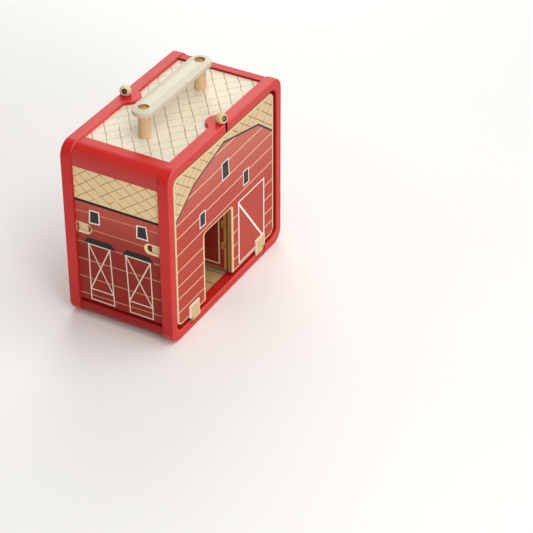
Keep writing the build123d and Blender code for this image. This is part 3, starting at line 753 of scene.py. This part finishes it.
# %% Places of the end drawing
EAVES, EAVES_HALF = 183.0, 2.0  # mm: height of the eaves line's middle, and its half width
EAVES_CLEAR = 2.95  # mm from its middle to the ends of the shingle strokes
END_LIGHT_HEIGHTS = (112.0, 180.0)  # the heights between which painted light pales the red
WALL_HALF, END_JOINT_HALF, GATE_HALF = 63.0, 0.6, 0.75  # the wall's half depth, lines' half widths
END_LINES = [
    (35.8, 12.9, -6.4, 0.50, 0.34, "b5803f", 0.9),
    (-35.8, 12.9, -6.0, 0.50, 0.34, "a76c35", 0.95),
]
END_JOINTS = [(169.5, 166.5), (143.0, 142.0), (121.0, 119.0)]
END_JOINTS += [(95.0, 92.0), (66.0, 64.0), (41.0, 37.5)]
END_WINDOWS = [
    [(26.6, 172.8), (41.8, 172.2), (43.5, 151.2), (26.4, 152.7)],
    [(-43.8, 173.1), (-29.1, 171.8), (-27.9, 152.0), (-46.2, 152.3)],
]
GATES = [  # corners, then the two ends of the middle rail
    ([(13.7, 119.0), (46.1, 119.0), (46.1, 31.2), (10.5, 31.2)], (11.1, 48.0), (46.1, 48.0)),
    ([(-47.4, 119.0), (-10.5, 119.0), (-13.7, 30.9), (-48.7, 30.9)], (-48.5, 48.5), (-13.1, 48.5)),
]
LINTELS = [
    [(11.2, 128.6), (46.9, 128.6), (51.9, 119.8), (4.0, 119.8)],
    [(-46.2, 128.6), (-12.0, 128.6), (-5.8, 119.8), (-53.0, 119.8)],
]
BOLT_MOUTHS = ((39.9, 133.3), (70.0, 148.7))  # a pocket's corners, from the wall's middle
MOUTH_CORNER, MOUTH_EDGE = 7.6, 0.4  # its corner radius, and how far its bare rim spreads
BEVEL_END = (2.0, 3.2)  # depths between which the pale bevel turns to painted shade
POCKET_LIMIT, DARK_END = 7.0, 60.4  # a depth past all of it, and where its outer end starts
FOOT_TOP, FOOT_DEPTH = 34.0, 3.0  # lower down the foot is rounded, and the print runs round it


# %% Wall print
def gate_strokes(art, u, v, corners, rail_start, rail_end):
    """Distance to the white strokes of one gate: its border, its rail and its crossed braces."""
    border = abs(shape_gap(art, u, v, corners))
    rail = reach(art, u, v, rail_start, rail_end)
    rising = reach(art, u, v, rail_start, corners[1])
    falling = reach(art, u, v, corners[0], rail_end)
    return closest([border, rail, rising, falling])


def end_drawing(art, u, v, drift):
    # Painted light: the end wall's red pales towards the top.
    siding = painted_light_boards(art, v, *END_LIGHT_HEIGHTS, "941b10", "c95241")
    joints = joint_ink(art, u, v, END_JOINTS, WALL_HALF, END_JOINT_HALF)
    siding = art.blend(joints, siding, chip("d09a74"))
    for corners in END_WINDOWS:
        siding = window(art, siding, u, v, corners, "40372f")
    gates = ink(art, closest([gate_strokes(art, u, v, *gate) for gate in GATES]), GATE_HALF, 0.3)
    lintels = ink(art, closest([shape_gap(art, u, v, corners) for corners in LINTELS]), 0.0, 0.3)
    siding = art.blend(gates, siding, chip("efe9d2"))
    siding = art.blend(lintels, siding, chip("1d1a17"))
    ground = art.blend(drift, chip("fbe0b0"), chip("f6d5a0"))
    roof = shingles(art, u, v, ground, END_LINES)
    clear = EAVES + EAVES_CLEAR
    roof = art.blend(art.ease(v, clear + 0.25, clear - 0.25), roof, ground)
    drawn = art.blend(art.ease(v, EAVES - 0.3, EAVES + 0.3), siding, roof)
    return art.blend(ink(art, abs(v - EAVES), EAVES_HALF), drawn, chip("0b0a08"))


def wall_print(name, node, facing, mouths):
    """Finish of an end wall. facing is -1 for the left wall and +1 for the right one."""
    art = Finish(name)
    low, high = [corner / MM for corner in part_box(node)]
    depth = -facing * art.x - (low.x if facing < 0 else -high.x)
    drift = art.noise(art.place, 18.0, 3.0)
    bare = plywood(art, depth, high.x - low.x)
    if mouths:
        from_mouth = round_gap(art, abs(art.y), art.z, *mouths, MOUTH_CORNER)
        mouth = ink(art, from_mouth, MOUTH_EDGE, 0.2)
        outer_end = abs(art.y).over(DARK_END) * depth.over(INK_DEPTH)
        # Painted shade: the pocket's depth and its outer end are dark.
        shaded = art.ease(depth, *BEVEL_END).most(outer_end)
        pocket = art.blend(shaded, chip("fbe6b4"), chip("9a5a26"))
        bare = art.blend(mouth * depth.under(POCKET_LIMIT), bare, pocket)
    else:
        mouth = 0.0
    foot = depth.under(FOOT_DEPTH) * art.z.under(FOOT_TOP)
    printed = depth.under(INK_DEPTH).most(foot) * (1.0 - mouth)
    colour = art.blend(printed, bare, end_drawing(art, art.y, art.z, drift))
    art.bump(drift, PRINT_RELIEF)
    return art.finish(Base_Color=colour, Roughness=0.5 + 0.08 * drift, Specular_IOR_Level=0.3)


dress(wall_print("left_wall_print", "left_end_wall", -1, BOLT_MOUTHS), "left_end_wall")
dress(wall_print("right_wall_print", "right_end_wall", 1, None), "right_end_wall")

# %% [markdown]
# ## Door and floor
# The plank door is printed darker, with one cream outline set in from its edges. Its print stops
# short of the hinge edge and of the two notches that the hinge lugs turn in.

# %% Door print
HINGE_NOTCHES = (57.5, 92.5)  # mm above the ground
NOTCH_END, NOTCH_HALF = 8.3, 5.4  # mm: from the hinge edge, and half the height
OUTLINE_SIDE, OUTLINE_TOP = 12.1, 6.9  # mm in from the edges: the cream outline
HINGE_MARGIN, DOOR_MARGIN = 4.8, 1.5  # mm in from the edges: where the print starts


def door_print():
    art = Finish("door_print")
    low, high = [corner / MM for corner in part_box("door_leaf")]
    drift = art.noise(art.place, 18.0, 3.0)
    colour = art.blend(drift, chip("8f2519"), chip("9c3022"))
    start = (low.y + OUTLINE_SIDE, low.z + OUTLINE_TOP)
    end = (high.y - OUTLINE_SIDE, high.z - OUTLINE_TOP)
    outline = frame_gap(art.y, art.z, start, end)
    colour = art.blend(ink(art, abs(outline), 1.15), colour, chip("e3cfa4"))
    start = (low.y + HINGE_MARGIN, low.z + DOOR_MARGIN)
    end = (high.y - DOOR_MARGIN, high.z - DOOR_MARGIN)
    margin = frame_gap(art.y, art.z, start, end)
    from_notch = closest([abs(art.z - z) for z in HINGE_NOTCHES]) - NOTCH_HALF
    notch = (art.y - (low.y + NOTCH_END)).most(from_notch)
    printed = art.ease(margin.most(-1.0 * notch), 0.3, -0.3) * art.x.under(low.x + INK_DEPTH)
    bare = plywood(art, art.x - low.x, high.x - low.x, ("c98f55", "b87b42"))
    colour = art.blend(printed, bare, colour)
    return art.finish(Base_Color=colour, Roughness=0.55, Specular_IOR_Level=0.3)


dress(door_print(), "door_leaf")

# %% [markdown]
# The floor is printed with planks that run from front to back, with dark joints between them.

# %% Floor print
PLANK, FIRST_JOINT = 24.8, 12.1  # millimetres


def floor_print():
    art = Finish("floor_print")
    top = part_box("floor_panel")[1].z / MM
    drift = art.noise(art.place, 18.0, 3.0)
    grain = art.noise(art.point(art.x * 0.6, art.y * 0.03, 0.0), 1.0, 2.0)
    ground = art.blend(grain, chip("e0bd8a"), chip("cb9c66"))
    joints = ink(art, (art.x - FIRST_JOINT).zigzag(PLANK / 2), 0.7)
    drawn = art.blend(joints, ground, chip("4a3826"))
    on_top = art.z.over(top - INK_DEPTH)
    colour = art.blend(on_top, plywood(art, top - art.z, PANEL_THICKNESS), drawn)
    return art.finish(Base_Color=colour, Roughness=0.55 + 0.1 * drift)


dress(floor_print(), "floor_panel")

# %% [markdown]
# ## Hinge plates
# The wooden hinge plates are bare. Their rims get a painted highlight: the wood is paler where
# the light would catch them.

# %% Hinge plates
RIM_START, RIM_END = -1.9, -1.0  # mm outside the plate's edge, so both are just inside it


def plate_beech(node):
    wood = Finish("beech_" + node)
    low, high = [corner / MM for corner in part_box(node)]
    colour, bands = beech_grain(wood, 2, "e6ca9c", "dab988")
    from_edge = frame_gap(wood.x, wood.z, (low.x, low.z), (high.x, high.z))
    # Painted highlight along the plate's rim.
    rim_highlight = wood.ease(from_edge, RIM_START, RIM_END)
    colour = wood.blend(0.8 * rim_highlight, colour, chip("fff3d8"))
    return wood.finish(Base_Color=colour, Roughness=0.5 + 0.1 * bands)


for node in ["front_hinge_left", "front_hinge_right", "back_hinge_left", "back_hinge_right"]:
    dress(plate_beech(node), node)

# %% [markdown]
# ## Studio floor
# A pale sheet, much wider than the barn. It isn't part of the toy.

# %% Studio floor
SHEET = 30.0  # metres


def studio_floor():
    bpy.ops.mesh.primitive_plane_add(size=SHEET)
    sheet = bpy.context.object
    sheet.name = "studio_floor"
    pale = Finish("pale_sheet")
    mottle = pale.noise(pale.place, 3.0, 2.0)
    colour = pale.blend(mottle, chip("fafafa"), chip("fdfdfd"))
    sheet.data.materials.append(pale.finish(Base_Color=colour, Roughness=0.9))
    return sheet


studio_floor()
